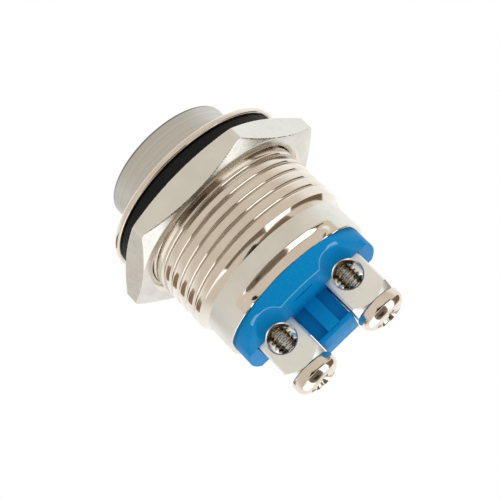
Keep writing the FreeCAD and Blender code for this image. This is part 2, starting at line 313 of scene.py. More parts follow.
def helix_faces(segments, count, per_turn):
    """Faces between copies of a long profile; the last copy meets the first one turn on."""
    faces = []
    for i in range(segments):
        at, to = i * count, (i + 1) % segments * count
        step = 0 if i < segments - 1 else per_turn
        for k in range(step, count - 1):
            faces.append((at + k, to + k - step, to + k + 1 - step, at + k + 1))
    return faces


def lathe_data(profile, segments, closed):
    """Points and faces of a profile of (radius, z) turned about Z."""
    points = []
    for i in range(segments):
        a = 2 * math.pi * i / segments
        points += [(r * math.cos(a), r * math.sin(a), z) for r, z in profile]
    return points, ring_faces(segments, len(profile), closed)


def lathe(name, profile, segments=160, closed=True):
    obj = mesh_object(name, *lathe_data(profile, segments, closed))
    clean(obj)
    return obj


def helix_tube(name, spring):
    """Round wire coiled between two heights."""
    wire_steps, steps_per_turn = 10, 48
    mean_r, wire_r, turns, z0, z1 = spring
    count = int(turns * steps_per_turn)
    points, faces = [], []
    low, high = z0 + wire_r, z1 - wire_r
    for i in range(count + 1):
        a = 2 * math.pi * i / steps_per_turn
        z = low + (high - low) * i / count
        for k in range(wire_steps):
            b = 2 * math.pi * k / wire_steps
            r = mean_r + wire_r * math.cos(b)
            points.append((r * math.cos(a), r * math.sin(a), z + wire_r * math.sin(b)))
    for i in range(count):
        at, to = i * wire_steps, (i + 1) * wire_steps
        for k in range(wire_steps):
            m = (k + 1) % wire_steps
            faces.append((at + k, to + k, to + m, at + m))
    faces.append(tuple(range(wire_steps)))
    faces.append(tuple(count * wire_steps + k for k in reversed(range(wire_steps))))
    obj = mesh_object(name, points, faces)
    clean(obj)
    return obj


# Solids for cutting and joining

def box_solid(x0, x1, y0, y1, z0, z1):
    points = [(x, y, z) for x in (x0, x1) for y in (y0, y1) for z in (z0, z1)]
    faces = [(0, 1, 3, 2), (4, 6, 7, 5), (0, 4, 5, 1), (2, 3, 7, 6), (0, 2, 6, 4), (1, 5, 7, 3)]
    return mesh_object("tool", points, faces)


def turned_solid(profile, segments):
    """Closed solid from a profile that starts and ends on the axis."""
    return lathe("tool", profile, segments, False)


def prism_solid(outline, low, high):
    """Solid of an (x, y) outline between two heights."""
    n = len(outline)
    points = [(x, y, z) for z in (low, high) for x, y in outline]
    faces = [tuple(range(n)), tuple(range(2 * n - 1, n - 1, -1))]
    faces += [(k, (k + 1) % n, n + (k + 1) % n, n + k) for k in range(n)]
    obj = mesh_object("tool", points, faces)
    clean(obj)
    return obj


def moved(obj, x=0.0, y=0.0, z=0.0):
    obj.data.transform(Matrix.Translation(Vector((x, y, z)) * MM))
    return obj


def turned(obj, degrees, axis):
    obj.data.transform(Matrix.Rotation(math.radians(degrees), 4, axis))
    return obj


def combine(obj, tool, operation):
    """Boolean with the exact solver; the tool is used up."""
    step = obj.modifiers.new("combine", "BOOLEAN")
    step.operation = operation
    step.solver = "EXACT"
    step.object = tool
    apply_modifiers(obj)
    bpy.data.objects.remove(tool)


def cut(obj, tool):
    combine(obj, tool, "DIFFERENCE")


def join(obj, tool):
    combine(obj, tool, "UNION")


def common(obj, tool):
    combine(obj, tool, "INTERSECT")


def soften(obj, width, segments, angle_deg):
    """Joins coplanar faces and rounds the hard edges."""
    bm = bmesh.new()
    bm.from_mesh(obj.data)
    bmesh.ops.dissolve_limit(bm, angle_limit=math.radians(0.5), verts=bm.verts, edges=bm.edges)
    bm.to_mesh(obj.data)
    bm.free()
    step = obj.modifiers.new("edges", "BEVEL")
    step.width = width * MM
    step.segments = segments
    step.limit_method = "ANGLE"
    step.angle_limit = math.radians(angle_deg)
    apply_modifiers(obj)
    return obj


# Materials

# Most of a noise's values lie between these two
NOISE_LOW = 0.3
NOISE_HIGH = 0.7
ROUND_SCALE = 0.02          # how slowly lathe marks change round the axis


def new_material(name):
    mat = bpy.data.materials.new(name)
    mat.use_nodes = True
    nodes = mat.node_tree.nodes
    return mat, nodes, mat.node_tree.links, nodes["Principled BSDF"]


def noise_node(nodes, links, vector, scale, detail, roughness=0.5):
    """Noise whose scale is in waves per millimetre."""
    node = nodes.new("ShaderNodeTexNoise")
    node.inputs["Scale"].default_value = scale / MM
    node.inputs["Detail"].default_value = detail
    node.inputs["Roughness"].default_value = roughness
    links.new(vector, node.inputs["Vector"])
    return node.outputs["Fac"]


def spread(nodes, links, value, low, high):
    """Maps a noise onto low to high."""
    node = nodes.new("ShaderNodeMapRange")
    node.inputs["From Min"].default_value = NOISE_LOW
    node.inputs["From Max"].default_value = NOISE_HIGH
    node.inputs["To Min"].default_value = low
    node.inputs["To Max"].default_value = high
    links.new(value, node.inputs["Value"])
    return node.outputs["Result"]


def two_tones(nodes, links, value, first, second):
    """Maps a noise onto two colours."""
    ramp = nodes.new("ShaderNodeValToRGB")
    low, high = ramp.color_ramp.elements
    low.position, high.position = NOISE_LOW, NOISE_HIGH
    low.color, high.color = (*first, 1), (*second, 1)
    links.new(value, ramp.inputs["Fac"])
    return ramp.outputs["Color"]


def add_bump(nodes, links, shader, height, strength, distance):
    bump = nodes.new("ShaderNodeBump")
    bump.inputs["Strength"].default_value = strength
    bump.inputs["Distance"].default_value = distance * MM
    links.new(height, bump.inputs["Height"])
    links.new(bump.outputs["Normal"], shader.inputs["Normal"])


def object_coords(nodes):
    return nodes.new("ShaderNodeTexCoord").outputs["Object"]


def turned_coords(nodes, links):
    """Coordinates that run slowly round the axis and fast across it, for lathe marks."""
    parts = nodes.new("ShaderNodeSeparateXYZ")
    links.new(object_coords(nodes), parts.inputs["Vector"])
    flat = nodes.new("ShaderNodeCombineXYZ")
    links.new(parts.outputs["X"], flat.inputs["X"])
    links.new(parts.outputs["Y"], flat.inputs["Y"])
    length = nodes.new("ShaderNodeVectorMath")
    length.operation = "LENGTH"
    links.new(flat.outputs["Vector"], length.inputs[0])
    angle = nodes.new("ShaderNodeMath")
    angle.operation = "ARCTAN2"
    links.new(parts.outputs["Y"], angle.inputs[0])
    links.new(parts.outputs["X"], angle.inputs[1])
    slow = nodes.new("ShaderNodeMath")
    slow.operation = "MULTIPLY"
    slow.inputs[1].default_value = ROUND_SCALE * MM
    links.new(angle.outputs["Value"], slow.inputs[0])
    out = nodes.new("ShaderNodeCombineXYZ")
    links.new(length.outputs["Value"], out.inputs["X"])
    links.new(slow.outputs["Value"], out.inputs["Y"])
    links.new(parts.outputs["Z"], out.inputs["Z"])
    return out.outputs["Vector"]


def metal(name, dark, light, rough, grain, bump, lathed=False, tone_scale=0.35):
    """Metal with tone changes, uneven polish and fine marks; a fine tone follows the marks."""
    mat, nodes, links, shader = new_material(name)
    coords = object_coords(nodes)
    marks = turned_coords(nodes, links) if lathed else coords
    tone = noise_node(nodes, links, marks if tone_scale > 1 else coords, tone_scale, 4.0)
    links.new(two_tones(nodes, links, tone, dark, light), shader.inputs["Base Color"])
    shader.inputs["Metallic"].default_value = 1.0
    polish = noise_node(nodes, links, marks, grain * 0.4, 5.0, 0.6)
    links.new(spread(nodes, links, polish, *rough), shader.inputs["Roughness"])
    fine = noise_node(nodes, links, marks, grain, 4.0, 0.6)
    add_bump(nodes, links, shader, fine, bump, 0.01)
    return mat


def moulded(name, dark, light, rough, grain, bump, specular=0.5):
    """Moulded plastic or rubber with a mottled tone and a fine pebbled skin."""
    mat, nodes, links, shader = new_material(name)
    coords = object_coords(nodes)
    tone = noise_node(nodes, links, coords, grain, 6.0, 0.7)
    links.new(two_tones(nodes, links, tone, dark, light), shader.inputs["Base Color"])
    polish = noise_node(nodes, links, coords, grain * 0.5, 4.0)
    links.new(spread(nodes, links, polish, *rough), shader.inputs["Roughness"])
    shader.inputs["Specular IOR Level"].default_value = specular
    fine = noise_node(nodes, links, coords, grain * 1.5, 5.0, 0.7)
    add_bump(nodes, links, shader, fine, bump, 0.02)
    return mat


# Name, darker and lighter colour, range of roughness, grain in waves per millimetre, bump
NICKEL = metal("bright_nickel", (0.68, 0.635, 0.575), (0.77, 0.725, 0.665), (0.07, 0.14),
               6.0, 0.07, lathed=True)
SATIN = metal("satin_nickel", (0.70, 0.715, 0.69), (0.77, 0.785, 0.76), (0.34, 0.46), 5.0, 0.2)
# Nut's rear faces: a smoother faced finish, its tone set darker as painted shade for the darker
# reflection these faces show.
FACED_PAINTED_SHADE = metal("faced_nickel_painted_shade", (0.56, 0.545, 0.51), (0.68, 0.665, 0.63), (0.16, 0.28), 5.0, 0.15)
PALE_SATIN = metal("satin_terminal", (0.90, 0.94, 0.94), (0.95, 0.99, 0.99), (0.32, 0.44),
                   6.0, 0.2)
BRUSHED = metal("brushed_button", (0.51, 0.52, 0.505), (0.63, 0.64, 0.625), (0.34, 0.5),
                14.0, 0.6, lathed=True, tone_scale=4.0)
DRILLED = metal("drilled_brass", (0.42, 0.36, 0.29), (0.60, 0.54, 0.46), (0.2, 0.34), 9.0, 0.3)
# Darker finish for the rim of the button's top edge: a painted dark reflection of the dark
# surroundings that the rounded edge mirrors.
BUTTON_EDGE_PAINTED_REFLECTION = metal("button_rim_painted_dark_reflection", (0.16, 0.16, 0.18), (0.24, 0.24, 0.26), (0.3, 0.42),
                  14.0, 0.3, lathed=True)
SCREW_METAL = metal("plated_screw", (0.66, 0.61, 0.545), (0.80, 0.76, 0.70), (0.08, 0.17),
                    5.0, 0.25)
STEEL = metal("spring_steel", (0.50, 0.49, 0.47), (0.62, 0.61, 0.59), (0.2, 0.34), 8.0, 0.15)
BRASS = metal("bare_brass", (0.66, 0.47, 0.20), (0.76, 0.57, 0.28), (0.22, 0.36), 6.0, 0.2)
SILVER = metal("silver_contact", (0.80, 0.79, 0.76), (0.90, 0.89, 0.87), (0.18, 0.3), 6.0, 0.15)
RUBBER = moulded("black_rubber", (0.005, 0.006, 0.007), (0.011, 0.013, 0.015), (0.5, 0.65),
                 5.0, 0.3, specular=0.15)
BLUE = moulded("blue_plastic", (0.0, 0.21, 0.60), (0.0, 0.30, 0.73), (0.42, 0.54),
               7.0, 0.4, specular=0.08)
# Lighter blue for the bevel round the rim of the base's end: a painted highlight along that edge.
PAINTED_HIGHLIGHT_BLUE = moulded("blue_rim_painted_highlight", (0.06, 0.36, 0.78), (0.20, 0.55, 0.90), (0.34, 0.48),
                    9.0, 0.3, specular=0.3)
WHITE = moulded("white_plastic", (0.66, 0.65, 0.61), (0.75, 0.74, 0.71), (0.35, 0.5), 4.0, 0.2)


# Housing

RING = 300                  # steps round the axis
# Thread groove from its upper edge to its lower one: place along the axis and depth
GROOVE = [(-0.21, 0.0), (-0.08, 0.095), (-0.015, 0.24), (0.015, 0.24), (0.06, 0.1), (0.11, 0.0)]
# Points over one turn, measured down from the groove's middle: groove, then crest
THREAD_ROWS = [-0.235, -0.19, -0.1, -0.07, -0.015, 0.015, 0.05, 0.07, 0.1, 0.13, 0.35, 0.5, 0.65]
GROOVE_TOP_Z = -4.25        # middle of the first groove seen below the nut
GROOVE_TOP_TURN = 0.75      # and its direction, as a share of a turn
TURNS_ABOVE = 6             # turns drawn above it, cut off at the flange
RUNOUT = 0.55               # length over which the thread fades out


def groove_depth(across, z):
    """Depth of the thread's groove at a distance from its middle."""
    fade = smoothstep((z - THREAD_END_Z) / RUNOUT)
    for (start, low), (end, high) in zip(GROOVE, GROOVE[1:]):
        if start <= across <= end:
            return fade * (low + (high - low) * (across - start) / (end - start))
    return 0.0


def thread_data():
    """Right-hand thread on rows that follow the helix."""
    turns = int(-THREAD_END_Z / THREAD_PITCH) + 4
    top = GROOVE_TOP_Z + THREAD_PITCH * TURNS_ABOVE
    points = []
    for i in range(RING):
        a = 2 * math.pi * i / RING
        lead = THREAD_PITCH * (i / RING - GROOVE_TOP_TURN)
        for t in range(turns):
            for row in THREAD_ROWS:
                z = min(max(top - t * THREAD_PITCH - row + lead, THREAD_END_Z), 0.0)
                r = THREAD_R - groove_depth(row, z)
                points.append((r * math.cos(a), r * math.sin(a), z))
    per_turn = len(THREAD_ROWS)
    return points, helix_faces(RING, turns * per_turn, per_turn)


def lip_dent(angle_deg, z):
    """How far the skirt is pressed in at a place."""
    deepest = 0.0
    for centre in LIP_CENTRES_DEG:
        away = off_angle(angle_deg, centre)
        wall = smoothstep((LIP_HALF_DEG - away) / LIP_FADE_DEG)
        round_off = (away - LIP_BULGE_DEG) / LIP_BULGE_HALF_DEG
        along_off = (z - LIP_BULGE_Z) / LIP_BULGE_HALF_H
        bulge = LIP_BULGE * math.exp(-(round_off ** 2 + along_off ** 2))
        deepest = max(deepest, wall * (1 - bulge))
    down = smoothstep((LIP_TOP_Z + 0.16 - z) / 0.5)
    curl = LIP_CURL * smoothstep((LIP_TOP_Z - 0.4 - z) / 0.9)
    return deepest * down * (LIP_DEPTH + curl)


def skirt_data():
    """Chamfer, skirt with its pressed lips, rear edge and inner wall."""
    rows, edge_rows, edge = 60, 4, 0.1
    start, end = SKIRT_START_Z - 0.1, SKIRT_END_Z + edge
    profile = [(THREAD_R, THREAD_END_Z), (THREAD_R - 0.02, THREAD_END_Z - 0.03),
               (SKIRT_R + 0.01, SKIRT_START_Z + 0.01), (SKIRT_R, SKIRT_START_Z - 0.04)]
    profile += [(SKIRT_R, start + (end - start) * k / rows) for k in range(rows + 1)]
    for k in range(1, edge_rows + 1):
        b = math.pi / 2 * k / edge_rows
        profile.append((SKIRT_R - edge * (1 - math.cos(b)), end - edge * math.sin(b)))
    profile += [(SEAT_R, SKIRT_END_Z), (SEAT_R, LIP_TOP_Z - 0.3), (SEAT_R, LIP_TOP_Z + 0.3)]
    points = []
    for i in range(RING):
        deg = 360.0 * i / RING
        c, s = math.cos(math.radians(deg)), math.sin(math.radians(deg))
        for r, z in profile:
            r_here = r - lip_dent(deg, z)
            points.append((r_here * c, r_here * s, z))
    return points, ring_faces(RING, len(profile), False)


def merged(parts):
    points, faces = [], []
    for some_points, some_faces in parts:
        base = len(points)
        points += some_points
        faces += [tuple(base + k for k in face) for face in some_faces]
    return points, faces


def make_housing():
    """Turned housing: bore and flange, thread, and skirt with its lips."""
    bore = [(SEAT_R, LIP_TOP_Z + 0.3), (SEAT_R, SHOULDER_Z), (CHAMBER_R, SHOULDER_Z),
            (CHAMBER_R, GUIDE_END_Z), (BORE_R, GUIDE_END_Z), (BORE_R, FLANGE_FRONT)]
    front = [(FLANGE_LIP_R, FLANGE_FRONT), (FLANGE_R, FLANGE_RIM), (FLANGE_R, 0), (THREAD_R, 0)]
    radii = [0] * 5 + [0.06, 0.12, 0.24, 0.2, 0]
    flange = lathe_data(round_corners(bore + front, radii, closed=False), RING, False)
    obj = mesh_object("turned_housing", *merged([flange, thread_data(), skirt_data()]))
    clean(obj, 0.002)
    finish_piece(obj, NICKEL, "body", "housing", 40)

    def on_skirt(at, normal):
        beside = SKIRT_END_Z + 0.12 < at.z < SKIRT_START_Z - 0.05
        return beside and math.hypot(at.x, at.y) > SKIRT_R - 0.012

    second_finish(obj, SATIN, on_skirt)


# Nut, gasket and button

def hexagon_radius(angle, flats, corner_round):
    """Distance from the axis to a hexagon with rounded corners."""
    away = (angle + math.pi / 6) % (math.pi / 3) - math.pi / 6
    centre = (flats / 2 - corner_round) / math.cos(math.pi / 6)
    touch = math.atan2(corner_round * 0.5, centre + corner_round * math.cos(math.pi / 6))
    if abs(away) < touch:
        across = centre * math.sin(abs(away))
        return centre * math.cos(away) + math.sqrt(corner_round ** 2 - across ** 2)
    return flats / 2 / math.cos(math.pi / 6 - abs(away))


def make_nut():
    """Hexagon nut on a polar grid, its chamfer meeting the flats in soft curves."""
    steps, blend = 720, 0.05
    front_slope = (NUT_CORNER_R - NUT_FACE_R) / NUT_FRONT_CUT
    rear_slope = (NUT_CORNER_R - NUT_FACE_R) / NUT_REAR_CUT
    front_end, rear_start = NUT_TOP_Z - NUT_FRONT_CUT, NUT_END_Z + NUT_REAR_CUT
    heights = [NUT_TOP_Z - NUT_FRONT_CUT * k / 14 for k in range(15)]
    heights += [front_end - down for down in (0.06, 0.15, 0.35, 0.6, 0.85, 1.05)]
    heights += [rear_start + 0.1, rear_start + 0.03]
    heights += [NUT_END_Z + NUT_REAR_CUT * (1 - k / 16) for k in range(17)]
    top = [(NUT_BORE_R, NUT_END_Z + NUT_MOUTH_DEPTH), (NUT_BORE_R, NUT_TOP_Z),
           (NUT_BORE_R + 0.3, NUT_TOP_Z), (NUT_FACE_R - 0.2, NUT_TOP_Z)]
    rear = [(NUT_FACE_R - 0.06, NUT_END_Z), (NUT_FACE_R - 0.3, NUT_END_Z),
            (NUT_MOUTH_R + 0.05, NUT_END_Z), (NUT_MOUTH_R, NUT_END_Z + 0.02),
            (NUT_BORE_R + 0.02, NUT_END_Z + NUT_MOUTH_DEPTH - 0.02)]
    points = []
    for i in range(steps):
        a = 2 * math.pi * i / steps
        hexagon = hexagon_radius(a - math.radians(NUT_TURN_DEG), NUT_FLATS, blend)
        hexagon = soft_min(hexagon, NUT_CORNER_R, 0.04)
        side = []
        for z in heights:
            r = soft_min(hexagon, NUT_FACE_R + rear_slope * (z - NUT_END_Z), blend)
            r = soft_min(r, NUT_FACE_R + front_slope * (NUT_TOP_Z - z), blend)
            side.append((r - 0.02, z))
        points += [(r * math.cos(a), r * math.sin(a), z) for r, z in top + side + rear]
    faces = ring_faces(steps, len(top) + len(heights) + len(rear), True)
    obj = mesh_object("hexagon_nut", points, faces)
    clean(obj)
    finish_piece(obj, SATIN, "nut", "panel_nut", 30)
    # Rear faces take the smoother faced finish, whose darker tone is painted shade.
    second_finish(obj, FACED_PAINTED_SHADE, lambda at, normal: normal.z < -0.6)
    second_finish(obj, NICKEL, lambda at, normal: math.hypot(at.x, at.y) < NUT_MOUTH_R - 0.03)


def make_gasket():
    profile = [(GASKET_BORE_R, GASKET_TOP_Z), (GASKET_R, GASKET_TOP_Z),
               (GASKET_R, GASKET_END_Z), (GASKET_BORE_R, GASKET_END_Z)]
    obj = lathe("gasket_ring", round_corners(profile, [0.05, 0.16, 0.16, 0.05]))
    finish_piece(obj, RUBBER, "body", "panel_gasket", 50)


def make_button():
    """Raised button: flat face, rounded edge, seal groove and collar."""
    collar_z = GUIDE_END_Z - 0.05
    ceiling = BUTTON_TOP_Z - BUTTON_FACE_T
    points = [(0, ceiling), (0, BUTTON_TOP_Z), (BUTTON_R, BUTTON_TOP_Z),
              (BUTTON_R, SEAL_GROOVE_TOP_Z), (SEAL_GROOVE_R, SEAL_GROOVE_TOP_Z),
              (SEAL_GROOVE_R, SEAL_GROOVE_END_Z), (BUTTON_R, SEAL_GROOVE_END_Z),
              (BUTTON_R, collar_z), (COLLAR_R, collar_z), (COLLAR_R, BUTTON_END_Z),
              (BUTTON_INNER_R, BUTTON_END_Z), (BUTTON_INNER_R, ceiling)]
    radii = [0, 0, 0.26, 0.04, 0, 0, 0.04, 0, 0.05, 0.05, 0.05, 0.1]
    obj = lathe("button_shell", round_corners(points, radii, 7))
    finish_piece(obj, BRUSHED, "button", "button_cap", 35)

    # Painted dark reflection: the faces of the button's rounded top edge take the darker finish.
    def on_painted_edge(at, normal):
        outside = math.hypot(at.x, at.y) > BUTTON_R - 0.2
        return outside and at.z > BUTTON_TOP_Z - 0.24 and normal.z < 0.85

    second_finish(obj, BUTTON_EDGE_PAINTED_REFLECTION, on_painted_edge)


# Base

def base_end_z(x, y):
    """Height of the base's outer end: tongue, lugs, rolled corners and wire funnels."""
    z = BASE_END_Z
    beyond = abs(y) - RAMP_START_Y
    if beyond > 0:
        outside = smoothstep((abs(x) - RAMP_START_X) / RAMP_BLEND_X)
        t = min(max((math.hypot(x, y) - BASE_R + ROLL_WIDTH) / ROLL_WIDTH, 0.0), 1.0)
        roll = ROLL_RISE * (1 - math.sqrt(1 - t * t)) * smoothstep(beyond / ROLL_BLEND_Y)
        z += outside * (RAMP_RISE * beyond / (BASE_R - RAMP_START_Y) + roll)
    face = -POST_FRONT_Y if y < 0 else POST_BACK_Y
    along = min(max((abs(y) - face) / FUNNEL_LENGTH, 0.0), 1.0)
    start_r = WIRE_HOLE_R + 0.06
    funnel = start_r + (FUNNEL_R - start_r) * math.sin(along * math.pi / 2)
    across = abs(abs(x) - POST_X)
    if abs(y) > face - FUNNEL_INSIDE and across < funnel:
        z = soft_max(z, WIRE_HOLE_Z + math.sqrt(funnel ** 2 - across ** 2), FUNNEL_BLEND)
    return z


def base_side_r(angle_deg, z):
    """Radius of the base's side; it stands back behind the rolled lips."""
    if SKIRT_END_Z - 0.02 < z < LIP_TOP_Z + 0.36:
        if min(off_angle(angle_deg, centre) for centre in LIP_CENTRES_DEG) < BASE_BACK_HALF_DEG:
            return BASE_BACK_R
    return BASE_R


def base_disc_data():
    """Closed disc on a polar grid, its outer end following base_end_z."""
    steps, rings = 480, 92
    side = [SKIRT_END_Z - 0.15, SKIRT_END_Z - 0.03, SKIRT_END_Z,
            LIP_TOP_Z + 0.34, LIP_TOP_Z + 0.38, BASE_TOP_Z]
    inside = [(BASE_NECK_R, BASE_TOP_Z), (BASE_NECK_R, BASE_DECK_Z),
              (WELL_R, BASE_DECK_Z), (WELL_R, WELL_END_Z)]
    points = [(0, 0, BASE_END_Z)]
    for i in range(steps):
        deg = 360.0 * i / steps
        c, s = math.cos(math.radians(deg)), math.sin(math.radians(deg))
        profile = []
        for k in range(1, rings + 1):
            r = (BASE_R - 0.05) * k / rings
            profile.append((r, base_end_z(r * c, r * s)))
        rim_z = base_end_z(BASE_R * c, BASE_R * s)
        profile += [(BASE_R - 0.012, rim_z + 0.025), (BASE_R, rim_z + 0.06)]
        profile += [(base_side_r(deg, z), z) for z in side] + inside
        points += [(r * c, r * s, z) for r, z in profile]
    points.append((0, 0, WELL_END_Z))
    n = len(profile)
    faces = []
    for i in range(steps):
        at, to = 1 + i * n, 1 + (i + 1) % steps * n
        faces.append((0, at, to))
        faces.append((len(points) - 1, to + n - 1, at + n - 1))
        faces += [(at + k, at + k + 1, to + k + 1, to + k) for k in range(n - 1)]
    return points, faces


def slot_tool(side):
    """Narrow parting slot in the tongue, with a small notch in its middle."""
    outline = [(-0.95, -0.14), (-0.16, -0.15), (0.0, -0.3), (0.12, -0.15), (1.0, -0.14),
               (1.0, 0.12), (-0.95, 0.12)]
    outline = [(x, side * SLOT_Y + y) for x, y in outline]
    return prism_solid(outline, BASE_END_Z - 0.2, BASE_END_Z + 1.4)


def make_block():
    """Ribbed wall between the terminals, closed by an end plate."""
    cross = [(-BLOCK_HALF, -POCKET_FLOOR_Y), (-RIB_HALF, -POCKET_FLOOR_Y),
             (-RIB_HALF, -BLOCK_DEPTH), (RIB_HALF, -BLOCK_DEPTH),
             (RIB_HALF, -POCKET_FLOOR_Y), (BLOCK_HALF, -POCKET_FLOOR_Y)]
    cross += [(-x, -y) for x, y in cross]
    plate_z = BLOCK_END_Z + BLOCK_PLATE_T
    web = prism_solid(cross, plate_z - 0.1, BASE_END_Z + 0.8)
    plate = box_solid(-BLOCK_HALF, BLOCK_HALF, -BLOCK_DEPTH, BLOCK_DEPTH, BLOCK_END_Z, plate_z)
    return [soften(web, 0.03, 2, 30), soften(plate, 0.035, 2, 30)]


def make_base():
    """Moulded base: disc with tongue, rolled corners, funnels and sockets, and the wall."""
    body = mesh_object("moulded_base", *base_disc_data())
    clean(body, 0.001)
    tools = [slot_tool(-1), slot_tool(1)]
    for side in (-1, 1):
        x0, x1 = sorted((side * (POST_X - POST_HALF - 0.05), side * (POST_X + POST_HALF + 0.11)))
        tools.append(box_solid(x0, x1, POST_FRONT_Y - 0.03, POST_BACK_Y + 0.05,
                               POST_END_Z, POST_TOP_Z + 0.02))
    cut(body, joined_meshes("tool", tools))
    obj = joined_meshes("moulded_base", [body] + make_block())
    finish_piece(obj, BLUE, "body", "base", 32)

    # Painted highlight: the faces on the bevel round the rim of the base's end, beside the tongue,
    # take the lighter blue.
    def on_painted_highlight_rim(at, normal):
        on_painted_edge = BASE_R - 0.075 < math.hypot(at.x, at.y) < BASE_R - 0.001
        on_tongue = abs(at.x) < TONGUE_HALF and abs(at.y) > TONGUE_START_Y
        return on_painted_edge and on_tongue and at.z < WIRE_HOLE_Z + 2.0

    second_finish(obj, PAINTED_HIGHLIGHT_BLUE, on_painted_highlight_rim)


# Terminals

def make_post(side, letter):
    """Terminal bar with its wire hole, turned end and neck."""
    x = side * POST_X
    body = box_solid(x - POST_HALF, x + POST_HALF, POST_FRONT_Y, POST_BACK_Y,
                     POST_END_Z, POST_TOP_Z)
    body.name = "bar_" + letter
    end, past_top, wide = POST_END_Z - 0.01, POST_TOP_Z + 1, POST_TURNED_R + POST_TAPER
    blank = [(0, end), (POST_TURNED_R, end), (wide, POST_END_Z + POST_TAPER), (wide, past_top),
             (0, past_top)]
    common(body, moved(turned_solid(blank, 128), x, POST_Y))
    below_top = POST_TOP_Z - 0.5
    neck = [(0, NECK_TOP_Z), (NECK_R, NECK_TOP_Z), (NECK_R, below_top), (0, below_top)]
    join(body, moved(turned_solid(neck, 64), x))
    depth, step, over = POST_BACK_Y - POST_FRONT_Y, WIRE_HOLE_CHAMFER, 0.5
    hole = [(0, -over), (WIRE_HOLE_R + step, -over), (WIRE_HOLE_R + step, 0),
            (WIRE_HOLE_R, step), (WIRE_HOLE_R, depth - step), (WIRE_HOLE_R + step, depth),
            (WIRE_HOLE_R + step, depth + over), (0, depth + over)]
    cut(body, moved(turned(turned_solid(hole, 96), -90, "X"), x, POST_FRONT_Y, WIRE_HOLE_Z))
    bore = [(0, POST_END_Z - 1), (SCREW_R + 0.05, POST_END_Z - 1),
            (SCREW_R + 0.05, SCREW_BORE_END_Z), (0, SCREW_BORE_END_Z)]
    cut(body, moved(turned_solid(bore, 64), x, POST_Y))
    soften(body, 0.03, 2, 25)
    finish_piece(body, PALE_SATIN, "body", "terminal_post_" + letter, 30)

    def in_hole(at, normal):
        near = math.hypot(at.x - x, at.z - WIRE_HOLE_Z) < WIRE_HOLE_R + 0.02
        return near and abs(normal.y) < 0.5

    def on_cone(at, normal):
        return at.z < POST_END_Z + POST_TAPER + 0.1 and -0.95 < normal.z < -0.3

    second_finish(body, DRILLED, in_hole)
    second_finish(body, SATIN, on_cone)
    flatten_normals(body)


def screw_thread_data():
    """Threaded shank about the Z axis, its rows following the helix and its tip tapered."""
    steps, rows = 48, 8
    low, high = HEAD_SEAT_Z - 0.2, SCREW_TIP_Z
    count = (int((high - low) / SCREW_PITCH) + 4) * rows
    points = []
    for i in range(steps):
        a = 2 * math.pi * i / steps
        for k in range(count):
            z = min(max(high + SCREW_PITCH * (1 - k / rows + i / steps), low), high)
            wave = abs((k % rows) / rows - 0.5) * 2
            r = SCREW_R - SCREW_GROOVE * (1 - smoothstep(wave * 1.15))
            r -= SCREW_TIP_CUT * smoothstep(1 - (high - z) / SCREW_TIP_CUT)
            points.append((r * math.cos(a), r * math.sin(a), z))
    return points, helix_faces(steps, count, rows)


def head_profile():
    """Half outline of the domed head, from the seat to the crown."""
    side_z = HEAD_SEAT_Z - HEAD_SIDE
    profile = [(0, HEAD_SEAT_Z), (HEAD_R - 0.1, HEAD_SEAT_Z),
               (HEAD_R - 0.03, HEAD_SEAT_Z - 0.03), (HEAD_R, HEAD_SEAT_Z - 0.1),
               (HEAD_R, side_z + 0.1)]
    steps = 18
    for k in range(1, steps + 1):
        b = math.pi / 2 * k / steps
        profile.append((HEAD_R * math.cos(b) ** 0.9, side_z - (side_z - HEAD_END_Z) * math.sin(b)))
    return profile


def recess_tool():
    """Two crossed slots that narrow as they go into the head."""
    # Half length, half width and height of each section of a slot
    sections = [(1.45, 0.33, -0.6), (1.247, 0.297, 0.25), (0.5, 0.25, 0.95)]
    points = []
    for a, b, up in sections:
        points += [(x, y, HEAD_END_Z + up) for x, y in ((-a, -b), (a, -b), (a, b), (-a, b))]
    faces = [(0, 1, 2, 3), (11, 10, 9, 8)]
    for at in (0, 4):
        for k in range(4):
            m = (k + 1) % 4
            faces.append((at + k, at + 4 + k, at + 4 + m, at + m))
    slots = []
    for degrees in (RECESS_TURN_DEG, RECESS_TURN_DEG + 90):
        slot = mesh_object("tool", points, faces)
        clean(slot)
        slots.append(turned(slot, degrees, "Z"))
    join(*slots)
    return slots[0]


def make_screw(side, letter):
    """Domed cross-recess terminal screw with its thread."""
    name = "screw_" + letter + "_detail"
    head = turned_solid(head_profile(), 96)
    cut(head, recess_tool())
    socket = [(0, -0.5), (1.25, -0.5), (0.85, 0.2), (0.45, 0.5), (0, 0.55)]
    cut(head, turned_solid([(r, HEAD_END_Z + up) for r, up in socket], 64))
    soften(head, 0.05, 3, 28)
    shank = mesh_object(name, *screw_thread_data())
    clean(shank)
    obj = joined_meshes(name, [head, shank])
    moved(obj, side * POST_X, POST_Y)
    node = "terminal_screw_" + letter
    finish_piece(obj, SCREW_METAL, "screw_" + letter, node, 40)


# Inside parts

def make_springs():
    back = helix_tube("return_coil", RETURN_SPRING)
    finish_piece(back, STEEL, "body", "return_spring", 50)
    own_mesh(back)
    front = helix_tube("contact_coil", CONTACT_SPRING)
    finish_piece(front, STEEL, "button", "contact_spring", 50)
    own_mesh(front)


def dress_inside():
    """Gives the CAD nodes that stay as they are their materials."""
    finishes = {"button_seal": RUBBER, "base_seal": RUBBER, "plunger": WHITE,
                "bridge_clip": STEEL, "contact_bridge": BRASS,
                "bridge_contact_a": SILVER, "bridge_contact_b": SILVER,
                "fixed_contact_a": SILVER, "fixed_contact_b": SILVER}
    for name, material in finishes.items():
        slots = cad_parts[name].data.materials
        slots.clear()
        slots.append(material)


# Studio

FLOOR_Z = -22.9             # under the screws when they are backed out
FLOOR_HALF = 700
FRONT_COLOUR = (0.80, 0.72, 0.62)
BACK_COLOUR = (1.12, 1.10, 1.06)
CARD_DISTANCE = 200
